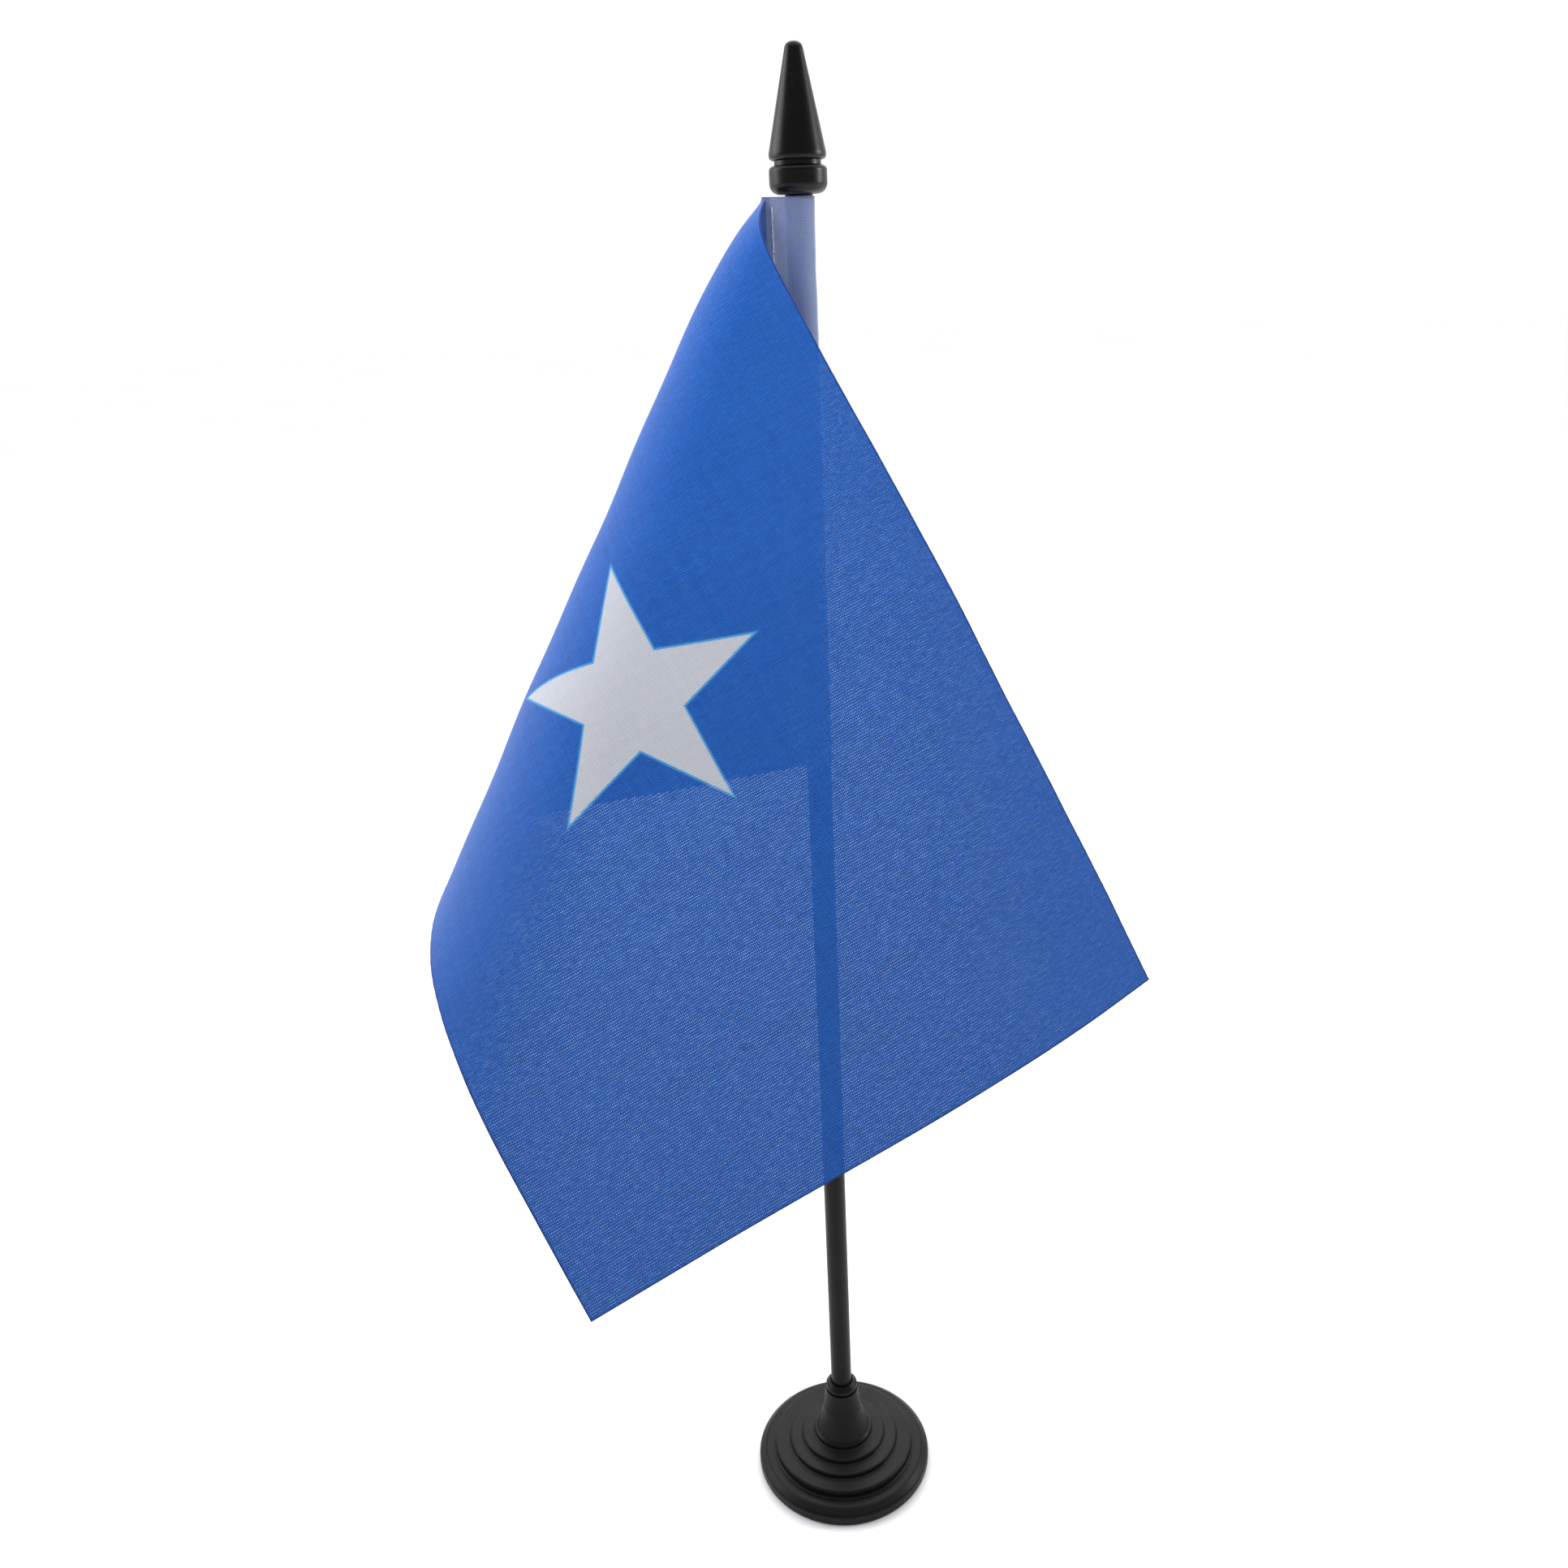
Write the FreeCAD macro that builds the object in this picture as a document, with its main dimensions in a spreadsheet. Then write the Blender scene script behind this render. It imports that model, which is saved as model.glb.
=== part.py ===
import FreeCAD, Part
import math
import os

import Sketcher

# Desk flag stand: a moulded base with stepped rings and a central socket, a round rod that
# pushes into the socket, a pointed finial that pushes onto the rod, and a cloth flag whose
# sewn sleeve hangs and turns on the rod.
# Millimetres. The rod's axis is Z, and the origin is the centre of the base's underside.
# The cloth leaves the rod towards -X, and folds round to pass in front of it, which is -Y.

SIZES = (
    # the base moulding, from the outer rim in to the neck
    ("base_radius", 27.5, "outer rim"),
    ("foot_radius", 27.1, "edge of the underside"),
    ("foot_height", 0.8, "where the underside's bevel meets the rim"),
    ("rim_height", 3.4, "where the rim's wall turns over"),
    ("rim_top_radius", 25.3, "outer edge of the rim's flat"),
    ("rim_top_height", 5.3, "the rim's flat"),
    ("step_low_radius", 22.0, "lowest ring"),
    ("step_low_height", 8.0, "top of the lowest ring"),
    ("step_mid_radius", 17.2, "second ring"),
    ("step_mid_height", 9.6, "top of the second ring"),
    ("step_high_radius", 13.2, "third ring"),
    ("step_high_height", 11.2, "top of the third ring"),
    ("step_top_radius", 9.2, "highest ring"),
    ("step_top_height", 12.6, "top of the highest ring"),
    ("neck_foot_radius", 8.5, "foot of the neck"),
    ("neck_foot_height", 13.3, "where the neck's flare begins"),
    ("neck_radius", 5.9, "the neck where the flare ends"),
    ("flare_height", 21.0, "where the flare ends"),
    ("neck_top_radius", 5.2, "top of the neck"),
    ("neck_top_height", 28.6, "where the neck meets the collar's groove"),
    ("collar_groove_radius", 4.6, "the groove under the collar"),
    ("collar_foot_height", 29.2, "underside of the collar"),
    ("collar_radius", 4.9, "the collar round the rod"),
    ("collar_height", 30.3, "where the collar starts to slope in to the rod"),
    ("mouth_edge_radius", 3.8, "outer edge of the socket's mouth"),
    ("neck_height", 31.6, "the socket's mouth"),
    ("ring_round", 0.6, "rounding of the ring edges"),
    ("rim_round", 1.6, "rounding of the rim"),
    ("shell_wall", 1.8, "wall of the moulding"),
    ("boss_radius", 5.4, "outside of the socket under the shell"),
    ("rib_thickness", 1.2, "a rib under the shell"),
    ("rib_bury", 0.6, "how far a rib runs into the shell and into the boss"),
    ("rib_foot", 0.8, "height of a rib above the table"),
    ("rib_count", 6, "ribs under the shell"),
    # the socket, the rod and its fits
    ("socket_floor", 3.0, "bottom of the socket"),
    ("mouth_radius", 3.5, "the bevel in the socket's mouth"),
    ("mouth_depth", 0.3, "depth of that bevel"),
    ("push_fit", 0.05, "radial gap between the rod and what it pushes into"),
    ("rod_radius", 3.2, "the rod"),
    ("rod_top", 395.0, "the rod's upper end"),
    ("rod_bevel", 0.4, "bevel of the rod's ends"),
    # the finial, from its underside up
    ("finial_foot", 383.4, "underside of the finial"),
    ("finial_ring_radius", 6.7, "the rounded ring"),
    ("finial_ring_height", 6.2, "height of the ring"),
    ("finial_foot_round", 2.3, "rounding of the ring's lower edge"),
    ("finial_ring_round", 1.2, "rounding of the ring's upper edge"),
    ("groove_radius", 5.4, "the groove over the ring"),
    ("groove_height", 1.0, "width of the groove"),
    ("cone_radius", 6.6, "widest part of the spike"),
    ("cone_lip", 1.6, "height of the spike's widest part"),
    ("lip_round", 1.0, "rounding of the spike's widest part"),
    ("cone_height", 24.5, "height of the spike"),
    ("tip_radius", 1.8, "flat of the spike before it is rounded"),
    ("tip_round", 1.7, "rounding of the tip"),
    # the flag and its sleeve
    ("flag_fly", 208.4, "length of the cloth, from the seam to the free edge"),
    ("flag_hoist", 140.0, "height of the cloth at the rod"),
    ("sleeve_top", 383.0, "upper end of the sleeve"),
    ("sleeve_gap", 0.1, "radial gap between the sleeve and the rod"),
    ("cloth_thickness", 0.4, "the flag and the sleeve, as solids"),
    ("seam_distance", 8.6, "from the rod's axis to the seam's edge"),
    ("seam_width", 2.6, "the flat of the seam"),
    ("seam_slit", 0.05, "half the width of the sleeve's bore where it ends at the seam"),
    ("seam_clearance", 0.2, "gap between the flag's edge and the seam's end"),
    ("leave_angle", 22.8, "turn of the seam from -X towards -Y, in degrees"),
    # the cloth's bend: rulings fan out from one point, and each sector has one curvature
    ("apex_across", -21.5, "the fan's centre, from the seam, on the flat cloth"),
    ("apex_above", 46.6, "the fan's centre, above the top edge, on the flat cloth"),
    ("sector_first", 23.1, "angle of the sector by the rod, in degrees"),
    ("sector_second", 23.9, "the sector of the fold"),
    ("sector_third", 16.4, "the next sector"),
    ("sector_fourth", 12.0, "the next sector"),
    ("sector_fifth", 3.2, "the sector by the free edge"),
    ("curve_first", 0.0, "curvature of each sector, as a geodesic curvature on the sphere"),
    ("curve_second", -6.67, "the fold"),
    ("curve_third", 0.54, "nearly flat"),
    ("curve_fourth", -1.78, "a slow bend"),
    ("curve_fifth", -0.26, "nearly flat"),
    ("columns", 64, "stations along the cloth"),
    ("rows", 32, "stations down the cloth"),
    # the thread of the seam
    ("stitch_length", 2.6, "one stitch"),
    ("stitch_pitch", 3.4, "from one stitch to the next"),
    ("stitch_radius", 0.16, "the thread"),
    ("stitch_inset", 1.6, "the row of stitches, from the seam's edge"),
    ("stitch_clearance", 0.02, "gap between the thread and the cloth"),
)
ALIASES = {alias for alias, number, meaning in SIZES}

CURVE_NAMES = ("first", "second", "third", "fourth", "fifth")
SAME_PLACE = 0.01       # how near an edge has to be to the place it is looked for at, in mm
LEAST_CHANGE = 1.0      # what a cut or a rib changes the volume by at least, in cubic mm
NORMAL_STEP = 0.05      # how far apart the cloth's points are that give its normal, in mm
OFFSET_TOLERANCE = 0.01
VOLUME_TOLERANCE = 0.02

doc = FreeCAD.newDocument("desk_flag_stand")
sheet = doc.addObject("Spreadsheet::Sheet", "sizes")
for row, (alias, number, meaning) in enumerate(SIZES, start=1):
    sheet.set(f"A{row}", alias)
    sheet.set(f"B{row}", str(number))
    sheet.set(f"C{row}", meaning)
    sheet.setAlias(f"B{row}", alias)
doc.recompute()


def size(alias):
    """The sheet's number, for the shapes that no expression can drive."""
    return float(sheet.get(alias))


def evaluate(formula):
    """A sum and difference of sizes, such as 'neck_height - mouth_depth'."""
    total, sign = 0.0, 1.0
    for word in formula.split(" "):
        if word in "+-":
            sign = 1.0 if word == "+" else -1.0
        elif word in ALIASES:
            total += sign * size(word)
        else:
            total += sign * float(word)
    return total


def bound(formula):
    """The same formula, in which each size's alias stands for its cell."""
    return " ".join(f"sizes.{word}" if word in ALIASES else word for word in formula.split(" "))


def origin_plane(body, role):
    return next(item for item in body.Origin.OriginFeatures if item.Role == role)


def new_body(name):
    body = doc.addObject("PartDesign::Body", name)
    body.Label = name
    return body


def new_sketch(body, name, role):
    sketch = body.newObject("Sketcher::SketchObject", name)
    sketch.AttachmentSupport = (origin_plane(body, role), [""])
    sketch.MapMode = "FlatFace"
    return sketch


def fix_distance(sketch, kind, line, axis, formula):
    """Holds a line's start at a distance from an axis, driven by the sheet."""
    if formula == "0":
        sketch.addConstraint(Sketcher.Constraint("PointOnObject", line, 1, axis))
        return
    index = sketch.addConstraint(Sketcher.Constraint(kind, -1, 1, line, 1, evaluate(formula)))
    sketch.setExpression(f"Constraints[{index}]", bound(formula))


def fix_corner(sketch, line, corner):
    """Holds a line's start at a corner, which is a pair of formulas."""
    across, up = corner
    fix_distance(sketch, "DistanceX", line, -2, across)
    fix_distance(sketch, "DistanceY", line, -1, up)


def place_of(corner):
    return tuple(evaluate(formula) for formula in corner)


def draw_lines(sketch, points):
    """Straight lines from point to point, each joined to the one before it."""
    for start, end in zip(points, points[1:]):
        sketch.addGeometry(Part.LineSegment(start, end), False)
    for line in range(len(points) - 2):
        sketch.addConstraint(Sketcher.Constraint("Coincident", line, 2, line + 1, 1))


def draw_outline(sketch, corners):
    """A closed outline of straight lines whose corners are pairs of formulas."""
    points = [FreeCAD.Vector(*place_of(corner), 0) for corner in corners]
    draw_lines(sketch, points + points[:1])
    sketch.addConstraint(Sketcher.Constraint("Coincident", len(points) - 1, 2, 0, 1))
    for line, corner in enumerate(corners):
        fix_corner(sketch, line, corner)


def turned(body, name, corners):
    """A solid of revolution about Z from an outline in the XZ plane."""
    sketch = new_sketch(body, f"{name}_outline", "XZ_Plane")
    draw_outline(sketch, corners)
    turn = body.newObject("PartDesign::Revolution", name)
    turn.Profile = sketch
    turn.ReferenceAxis = (sketch, ["V_Axis"])
    turn.Angle = 360
    doc.recompute()
    return turn


def bored(body, name, corners):
    """A cut of revolution about Z, whose volume is compared with the solid before it."""
    before = body.Shape.Volume
    sketch = new_sketch(body, f"{name}_outline", "XZ_Plane")
    draw_outline(sketch, corners)
    cut = body.newObject("PartDesign::Groove", name)
    cut.Profile = sketch
    cut.ReferenceAxis = (sketch, ["V_Axis"])
    cut.Angle = 360
    doc.recompute()
    if not cut.Shape.Volume < before - LEAST_CHANGE:
        raise RuntimeError(f"{name} cuts nothing")
    return cut


def round_edges(body, name, feature, corners, radius):
    """Rounds the circular edges that a turned solid's corners leave."""
    places = [place_of(corner) for corner in corners]
    chosen = []
    for index, edge in enumerate(feature.Shape.Edges, start=1):
        if not isinstance(edge.Curve, Part.Circle):
            continue
        here = (edge.Curve.Radius, edge.Curve.Center.z)
        if any(math.dist(here, place) < SAME_PLACE for place in places):
            chosen.append(f"Edge{index}")
    fillet = body.newObject("PartDesign::Fillet", name)
    fillet.Base = (feature, chosen)
    fillet.setExpression("Radius", bound(radius))
    doc.recompute()
    return fillet


def make_base():
    """The moulding: stepped rings up to a flared neck and a collar, hollow and ribbed inside."""
    body = new_body("base")
    steps = ("low", "mid", "high", "top")
    ring_edges = [(f"step_{step}_radius", f"step_{step}_height") for step in steps]
    levels = ["rim_top_height"] + [height for radius, height in ring_edges]
    outline = [
        ("0", "0"),
        ("foot_radius", "0"),
        ("base_radius", "foot_height"),
        ("base_radius", "rim_height"),
        ("rim_top_radius", "rim_top_height"),
    ]
    for (radius, height), level in zip(ring_edges, levels):
        outline.append((radius, level))
        outline.append((radius, height))
    outline += [
        ("neck_foot_radius", "neck_foot_height"),
        ("neck_radius", "flare_height"),
        ("neck_top_radius", "neck_top_height"),
        ("collar_groove_radius", "neck_top_height"),
        ("collar_groove_radius", "collar_foot_height"),
        ("collar_radius", "collar_foot_height"),
        ("collar_radius", "collar_height"),
        ("mouth_edge_radius", "neck_height"),
        ("0", "neck_height"),
    ]
    solid = turned(body, "stepped_solid", outline)
    corners = ring_edges + [(radius, level) for (radius, height), level in zip(ring_edges, levels)]
    corners += [("neck_foot_radius", "neck_foot_height"), ("neck_radius", "flare_height")]
    rounded = round_edges(body, "ring_rounds", solid, corners, "ring_round")
    rim = [("base_radius", "rim_height"), ("rim_top_radius", "rim_top_height")]
    round_edges(body, "rim_rounds", rounded, rim, "rim_round")
    hollow = [
        ("boss_radius", "0"),
        ("foot_radius - shell_wall", "0"),
        ("base_radius - shell_wall", "foot_height"),
        ("base_radius - shell_wall", "rim_height - shell_wall"),
        ("step_low_radius - shell_wall", "rim_top_height - shell_wall"),
        ("step_low_radius - shell_wall", "step_low_height - shell_wall"),
        ("step_top_radius - shell_wall", "step_high_height - shell_wall"),
        ("boss_radius", "step_top_height - shell_wall"),
    ]
    bored(body, "underside_hollow", hollow)
    add_ribs(body)
    bored(body, "socket_bore", [
        ("0", "socket_floor"),
        ("rod_radius + push_fit", "socket_floor"),
        ("rod_radius + push_fit", "neck_height - mouth_depth"),
        ("mouth_radius", "neck_height"),
        ("0", "neck_height"),
    ])
    return body


def add_ribs(body):
    """Radial ribs from the boss to the rim, inside the hollow."""
    inside = "- shell_wall + rib_bury"
    sketch = new_sketch(body, "rib_outline", "XZ_Plane")
    draw_outline(sketch, [
        ("boss_radius - rib_bury", "rib_foot"),
        (f"base_radius {inside}", "rib_foot"),
        (f"base_radius {inside}", f"rim_height {inside}"),
        (f"step_low_radius {inside}", f"rim_top_height {inside}"),
        (f"step_low_radius {inside}", f"step_low_height {inside}"),
        (f"step_top_radius {inside}", f"step_high_height {inside}"),
        ("boss_radius - rib_bury", f"step_top_height {inside}"),
    ])
    before = body.Shape.Volume
    rib = body.newObject("PartDesign::Pad", "rib")
    rib.Profile = sketch
    rib.SideType = "Symmetric"
    rib.setExpression("Length", bound("rib_thickness"))
    doc.recompute()
    pattern = body.newObject("PartDesign::PolarPattern", "ribs")
    pattern.Originals = [rib]
    pattern.Axis = (origin_plane(body, "Z_Axis"), [""])
    pattern.Angle = 360
    pattern.setExpression("Occurrences", bound("rib_count"))
    body.Tip = pattern
    doc.recompute()
    if not body.Shape.Volume > before + LEAST_CHANGE:
        raise RuntimeError("the ribs add nothing")


def make_rod():
    """The round rod, bevelled at both ends."""
    body = new_body("rod")
    turned(body, "rod_turn", [
        ("0", "socket_floor"),
        ("rod_radius - rod_bevel", "socket_floor"),
        ("rod_radius", "socket_floor + rod_bevel"),
        ("rod_radius", "rod_top - rod_bevel"),
        ("rod_radius - rod_bevel", "rod_top"),
        ("0", "rod_top"),
    ])
    return body


def make_finial():
    """A spike over a rounded ring, with a groove between them and a blind bore for the rod."""
    body = new_body("finial")
    ring_top = "finial_foot + finial_ring_height"
    groove_top = f"{ring_top} + groove_height"
    solid = turned(body, "finial_turn", [
        ("0", "finial_foot"),
        ("finial_ring_radius", "finial_foot"),
        ("finial_ring_radius", ring_top),
        ("groove_radius", ring_top),
        ("groove_radius", groove_top),
        ("cone_radius", groove_top),
        ("cone_radius", f"{groove_top} + cone_lip"),
        ("tip_radius", f"{groove_top} + cone_height"),
        ("0", f"{groove_top} + cone_height"),
    ])
    foot = [("finial_ring_radius", "finial_foot")]
    ring = [("finial_ring_radius", ring_top)]
    lip = [("cone_radius", groove_top), ("cone_radius", f"{groove_top} + cone_lip")]
    tip = [("tip_radius", f"{groove_top} + cone_height")]
    rounded = round_edges(body, "foot_rounding", solid, foot, "finial_foot_round")
    rounded = round_edges(body, "ring_rounding", rounded, ring, "finial_ring_round")
    rounded = round_edges(body, "lip_rounding", rounded, lip, "lip_round")
    round_edges(body, "tip_rounding", rounded, tip, "tip_round")
    bored(body, "finial_bore", [
        ("0", "finial_foot"),
        ("rod_radius + push_fit", "finial_foot"),
        ("rod_radius + push_fit", "rod_top"),
        ("0", "rod_top"),
    ])
    return body


def sleeve_placement():
    """The sleeve's foot on the rod's axis, with the seam turned to where the cloth leaves."""
    turn = FreeCAD.Rotation(FreeCAD.Vector(0, 0, 1), 180 + size("leave_angle"))
    foot = FreeCAD.Vector(0, 0, size("sleeve_top") - size("flag_hoist"))
    return FreeCAD.Placement(foot, turn)


def seam_direction():
    """The level direction in which the cloth leaves the rod."""
    angle = math.radians(size("leave_angle"))
    return FreeCAD.Vector(-math.cos(angle), -math.sin(angle), 0)


def draw_teardrop(sketch, radius, corners):
    """Round the rod, straight in to the upper corners, and back by their mirror images."""
    reach = evaluate(radius)
    upper = [FreeCAD.Vector(*place_of(corner), 0) for corner in corners]
    first = upper[0]
    lean = math.atan2(first.y, first.x) + math.acos(reach / first.Length)
    contact = FreeCAD.Vector(reach * math.cos(lean), reach * math.sin(lean), 0)
    upper.insert(0, contact)
    lower = [FreeCAD.Vector(point.x, -point.y, 0) for point in reversed(upper)]
    draw_lines(sketch, upper + lower)
    last = len(upper + lower) - 2
    arc = sketch.addGeometry(Part.Arc(contact, FreeCAD.Vector(-reach, 0, 0), lower[-1]), False)
    sketch.addConstraint(Sketcher.Constraint("Tangent", 0, 1, arc, 1))
    sketch.addConstraint(Sketcher.Constraint("Tangent", last, 2, arc, 2))
    sketch.addConstraint(Sketcher.Constraint("Coincident", arc, 3, -1, 1))
    index = sketch.addConstraint(Sketcher.Constraint("Radius", arc, reach))
    sketch.setExpression(f"Constraints[{index}]", bound(radius))
    for line, corner in enumerate(corners, start=1):
        fix_corner(sketch, line, corner)
        sketch.addConstraint(Sketcher.Constraint("Symmetric", line, 1, last + 1 - line, 1, -1))


def make_sleeve():
    """The sewn tube of cloth round the rod, drawn in to a flat seam at +X, then turned."""
    body = new_body("sleeve")
    seam_start = "seam_distance - seam_width"
    outer = new_sketch(body, "sleeve_outline", "XY_Plane")
    draw_teardrop(outer, "rod_radius + sleeve_gap + cloth_thickness", [
        (seam_start, "cloth_thickness"),
        ("seam_distance", "cloth_thickness"),
    ])
    tube = body.newObject("PartDesign::Pad", "sleeve_pad")
    tube.Profile = outer
    tube.setExpression("Length", bound("flag_hoist"))
    doc.recompute()
    before = body.Shape.Volume
    inner = new_sketch(body, "pocket_outline", "XY_Plane")
    draw_teardrop(inner, "rod_radius + sleeve_gap", [(seam_start, "seam_slit")])
    pocket = body.newObject("PartDesign::Pocket", "sleeve_pocket")
    pocket.Profile = inner
    pocket.Type = "ThroughAll"
    pocket.Midplane = True
    doc.recompute()
    if not body.Shape.Volume < before - LEAST_CHANGE:
        raise RuntimeError("the sleeve's pocket cuts nothing")
    body.Placement = sleeve_placement()
    return body


def sector_frames():
    """Where the cloth's rulings point at the start of each sector, and how each sector turns.

    A flat sheet bent along rulings through one point is a general cone. The rulings'
    directions draw a curve on the unit sphere whose length is the angle on the flat cloth, so
    the cloth isn't stretched. Each sector's part of that curve is a circle on the sphere.
    """
    ruling = FreeCAD.Vector(0, 0, -1)
    heading = seam_direction()
    frames, start = [], 0.0
    for name in CURVE_NAMES:
        span = math.radians(size(f"sector_{name}"))
        curve = size(f"curve_{name}")
        side = ruling.cross(heading)
        speed = math.sqrt(1 + curve ** 2)
        pivot = (side + ruling * curve) * (1 / speed)
        frames.append((start, ruling, pivot, speed))
        turn = FreeCAD.Rotation(pivot, math.degrees(speed * span))
        ruling, heading = turn.multVec(ruling), turn.multVec(heading)
        start += span
    return frames


def ruling_at(angle, frames):
    """The direction of the ruling at an angle past the vertical one, on the flat cloth."""
    start, ruling, pivot, speed = [frame for frame in frames if frame[0] <= max(angle, 0.0)][-1]
    turn = FreeCAD.Rotation(pivot, math.degrees(speed * (angle - start)))
    return turn.multVec(ruling)


def cloth_point(across, down, frames):
    """The place in space of a point of the flat cloth, from the seam and from the top edge."""
    fan_across = across - size("apex_across")
    fan_down = down + size("apex_above")
    apex = seam_direction() * (size("seam_distance") + size("seam_clearance") + size("apex_across"))
    apex.z = size("sleeve_top") + size("apex_above")
    angle = math.atan2(fan_across, fan_down)
    return apex + ruling_at(angle, frames) * math.hypot(fan_across, fan_down)


def cloth_normal(across, down, frames):
    """Square to the cloth, by the difference of points a little way along it and down it."""
    after = cloth_point(across + NORMAL_STEP, down, frames)
    before = cloth_point(across - NORMAL_STEP, down, frames)
    below = cloth_point(across, down + NORMAL_STEP, frames)
    above = cloth_point(across, down - NORMAL_STEP, frames)
    return (after - before).cross(below - above).normalize()


def cloth_face(offset, frames):
    """A smooth face at a distance to one side of the cloth's middle."""
    columns, rows = int(size("columns")), int(size("rows"))
    grid = []
    for column in range(columns + 1):
        across = size("flag_fly") * column / columns
        line = []
        for row in range(rows + 1):
            down = size("flag_hoist") * row / rows
            normal = cloth_normal(across, down, frames)
            line.append(cloth_point(across, down, frames) + normal * offset)
        grid.append(line)
    surface = Part.BSplineSurface()
    surface.interpolate(grid)
    return surface.toShape()


def make_flag():
    """The flag's cloth: a flat sheet bent round a fold, without stretch, as a thin solid."""
    frames = sector_frames()
    thickness = size("cloth_thickness")
    back = cloth_face(-thickness / 2, frames)
    solid = back.makeOffsetShape(thickness, OFFSET_TOLERANCE, fill=True)
    flat_volume = size("flag_fly") * size("flag_hoist") * thickness
    if not abs(solid.Volume / flat_volume - 1) < VOLUME_TOLERANCE:
        raise RuntimeError("the flag's volume isn't that of the flat cloth")
    flag = doc.addObject("Part::Feature", "flag")
    flag.Label = "flag"
    flag.Shape = solid
    return flag


def make_stitches():
    """The thread that closes the sleeve: a row of short stitches on each face of the seam."""
    length, pitch = size("stitch_length"), size("stitch_pitch")
    count = int((size("flag_hoist") - length) // pitch) + 1
    spare = size("flag_hoist") - (count - 1) * pitch - length
    reach = size("seam_distance") - size("stitch_inset")
    lift = size("cloth_thickness") + size("stitch_radius") + size("stitch_clearance")
    stitches = []
    for side in (-lift, lift):
        for number in range(count):
            foot = FreeCAD.Vector(reach, side, spare / 2 + number * pitch)
            stitches.append(Part.makeCylinder(size("stitch_radius"), length, foot))
    thread = doc.addObject("Part::Feature", "seam_thread")
    thread.Label = "seam_thread"
    thread.Shape = Part.makeCompound(stitches)
    thread.Placement = sleeve_placement()
    return thread


parts = [make_base(), make_rod(), make_finial(), make_sleeve(), make_flag(), make_stitches()]
doc.recompute()

for item in doc.Objects:
    if "Invalid" in item.State or "Error" in item.State:
        raise RuntimeError(f"{item.Name} failed: {item.State}")
for part in parts:
    if part.Shape.isNull() or not part.Shape.isValid():
        raise RuntimeError(f"{part.Label} has no valid shape")

os.makedirs("parts", exist_ok=True)
for part in parts:
    part.Shape.exportStep(f"parts/{part.Label}.step")
    box = part.Shape.BoundBox
    low = [round(value, 2) for value in (box.XMin, box.YMin, box.ZMin)]
    high = [round(value, 2) for value in (box.XMax, box.YMax, box.ZMax)]
    print(part.Label, "solids", len(part.Shape.Solids), "volume", round(part.Shape.Volume, 1), low, high)
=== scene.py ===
import math

import bpy
import numpy as np
from mathutils import Matrix, Vector


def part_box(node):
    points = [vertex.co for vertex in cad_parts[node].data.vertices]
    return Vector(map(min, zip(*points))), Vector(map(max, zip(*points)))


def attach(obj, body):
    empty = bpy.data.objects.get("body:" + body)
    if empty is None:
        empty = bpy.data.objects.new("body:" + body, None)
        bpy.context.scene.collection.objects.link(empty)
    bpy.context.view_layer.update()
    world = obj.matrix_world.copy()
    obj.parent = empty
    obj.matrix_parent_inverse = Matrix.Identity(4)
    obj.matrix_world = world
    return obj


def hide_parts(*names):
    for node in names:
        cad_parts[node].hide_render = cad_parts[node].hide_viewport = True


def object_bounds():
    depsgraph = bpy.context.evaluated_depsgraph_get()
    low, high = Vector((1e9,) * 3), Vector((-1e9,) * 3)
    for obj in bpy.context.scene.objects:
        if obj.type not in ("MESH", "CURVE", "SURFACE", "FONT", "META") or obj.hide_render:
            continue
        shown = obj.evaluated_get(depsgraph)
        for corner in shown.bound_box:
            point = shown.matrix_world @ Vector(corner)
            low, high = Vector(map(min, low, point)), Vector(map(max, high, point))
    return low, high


# Looks of the desk flag stand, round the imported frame.
# Metres and radians; the rod's axis is Z, and the camera is on -Y.
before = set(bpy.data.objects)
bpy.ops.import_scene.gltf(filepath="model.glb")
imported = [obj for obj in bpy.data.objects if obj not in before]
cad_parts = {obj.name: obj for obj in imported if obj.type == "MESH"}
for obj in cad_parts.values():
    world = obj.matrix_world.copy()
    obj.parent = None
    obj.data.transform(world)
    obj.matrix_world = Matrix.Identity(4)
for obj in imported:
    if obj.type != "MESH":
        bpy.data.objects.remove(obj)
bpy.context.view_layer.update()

MM = 0.001

# ---- the flag's cloth, as the CAD bends it ----
FLY = 208.4 * MM                # from the seam to the free edge
HOIST = 140 * MM
ROD_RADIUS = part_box("rod")[1].x
SLEEVE_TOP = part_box("sleeve")[1].z
SEAM_EDGE = 8.6 * MM            # from the rod's axis to the edge of the sleeve's seam
SEAM_WIDTH = 2.6 * MM
CLOTH_START = 8.8 * MM          # from the rod's axis to where the flag is counted from
LEAVE_ANGLE = math.radians(22.8)
APEX_ACROSS = -21.5 * MM        # where the cloth's rulings meet, on the flat cloth
APEX_ABOVE = 46.6 * MM
SECTORS = (                     # each sector's angle in degrees, and its curvature
    (23.1, 0.0),
    (23.9, -6.67),
    (16.4, 0.54),
    (12.0, -1.78),
    (3.2, -0.26),
)
TUCK = 1.6 * MM                 # how far the flag reaches in between the sleeve's plies
CLOTH = 0.16 * MM               # thickness
BEAD = 0.55                     # how much thicker the fused edge is, as a share
BEAD_WIDTH = 0.35 * MM
COLUMNS, ROWS = 352, 236
NEAR_SEAM = 60                  # columns that are doubled by the seam, where the fold is tight
CREASE = 0.88                   # how much of the fold is drawn in to the seam at the top
CREASE_DEPTH = 4.6 * MM         # how fast that fades below the top
CREASE_START = 1.6 * MM         # how fast it grows away from the seam's edge
CREASE_ROUND = 1.4 * MM         # how softly the drawn-in part meets the rest
RIPPLE = 0.22 * MM              # height of the cloth's slight unevenness
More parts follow.
